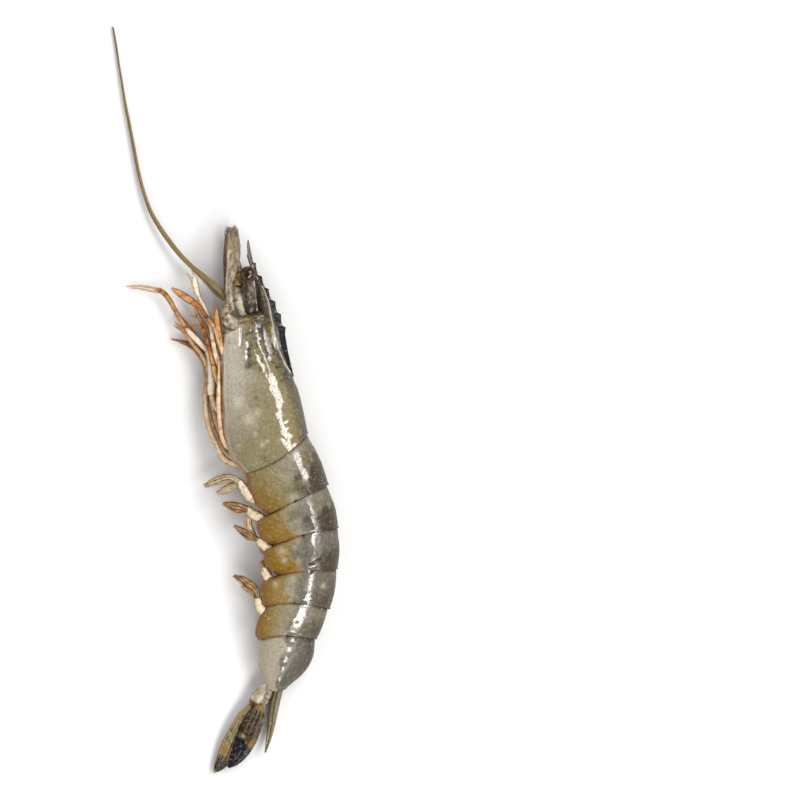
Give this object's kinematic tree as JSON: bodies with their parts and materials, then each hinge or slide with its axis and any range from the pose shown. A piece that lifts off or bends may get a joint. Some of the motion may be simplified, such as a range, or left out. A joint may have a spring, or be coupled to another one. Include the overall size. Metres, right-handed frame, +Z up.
{
  "type": "raw tiger prawn",
  "caption": "Whole raw prawn in its shell, lying on its flank, with toothed snout, stalked eyes, long feelers, legs and tail fan.",
  "frame": {"origin": "middle of the prawn's outline on the surface it lies on", "axes": "+Y towards the head, +X towards the back, -X towards the belly, +Z up, towards the left flank"},
  "size_m": [0.0937, 0.3069, 0.025],
  "materials": {
    "shell": "wet translucent shell",
    "banded_shell": "wet shell with dark bands",
    "eye": "glossy bead",
    "feeler": "ringed horn",
    "head_limb": "wet thin shell",
    "leg": "wet thin shell, cream to orange",
    "swimmeret": "wet thin shell",
    "tail_fan": "wet, brown to blue-black",
    "tail_joint": "wet pale shell"
  },
  "bodies": {
    "root": {"carapace": "shell", "segment_1": "banded_shell", "segment_2": "banded_shell", "segment_3": "banded_shell", "segment_4": "banded_shell", "segment_5": "shell", "segment_6": "shell", "eye_left": "eye", "antenna_base_left": "head_limb", "antennal_scale_left": "head_limb", "antennule_left": "head_limb", "antenna_left": "feeler", "jaw_foot_left": "leg", "leg_1_left": "leg", "swimmeret_1_left": "swimmeret", "leg_2_left": "leg", "swimmeret_2_left": "swimmeret", "leg_3_left": "leg", "swimmeret_3_left": "swimmeret", "leg_4_left": "leg", "swimmeret_4_left": "swimmeret", "leg_5_left": "leg", "swimmeret_5_left": "swimmeret", "protopod_left": "tail_joint", "exopod_left": "tail_fan", "endopod_left": "tail_fan", "eye_right": "eye", "antenna_base_right": "head_limb", "antennal_scale_right": "head_limb", "antennule_right": "head_limb", "antenna_right": "feeler", "jaw_foot_right": "leg", "leg_1_right": "leg", "swimmeret_1_right": "swimmeret", "leg_2_right": "leg", "swimmeret_2_right": "swimmeret", "leg_3_right": "leg", "swimmeret_3_right": "swimmeret", "leg_4_right": "leg", "swimmeret_4_right": "swimmeret", "leg_5_right": "leg", "swimmeret_5_right": "swimmeret", "protopod_right": "tail_joint", "exopod_right": "tail_fan", "endopod_right": "tail_fan", "telson": "shell"}
  },
  "joints": []
}
